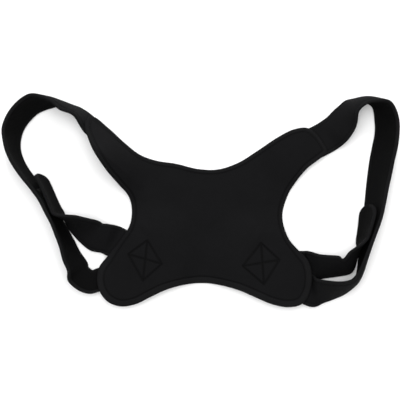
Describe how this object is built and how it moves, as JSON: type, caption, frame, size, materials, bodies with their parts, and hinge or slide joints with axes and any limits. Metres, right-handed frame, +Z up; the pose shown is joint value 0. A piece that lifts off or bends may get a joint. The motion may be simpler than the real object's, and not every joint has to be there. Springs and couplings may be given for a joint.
{
  "type": "posture corrector",
  "caption": "Padded four-lobed back panel with two shoulder straps and hook-tab closure straps, lying flat with its arm loops open.",
  "frame": {"origin": "the middle of the back panel's underside, on the surface that the part lies on", "axes": "+X across the back towards the arm opening at the right, +Y up the back towards the shoulders, +Z up from the surface"},
  "size_m": [0.5799, 0.3152, 0.0536],
  "materials": {
    "panel_cloth": "matt black knit over foam",
    "strap_cloth": "matt black knit over foam",
    "hook_tape": "dull black hook tape"
  },
  "bodies": {
    "root": {"back_panel": "panel_cloth", "shoulder_strap_right": "strap_cloth", "closure_strap_right": "strap_cloth", "hook_pad_right": "hook_tape", "shoulder_strap_left": "strap_cloth", "closure_strap_left": "strap_cloth", "hook_pad_left": "hook_tape"}
  },
  "joints": []
}
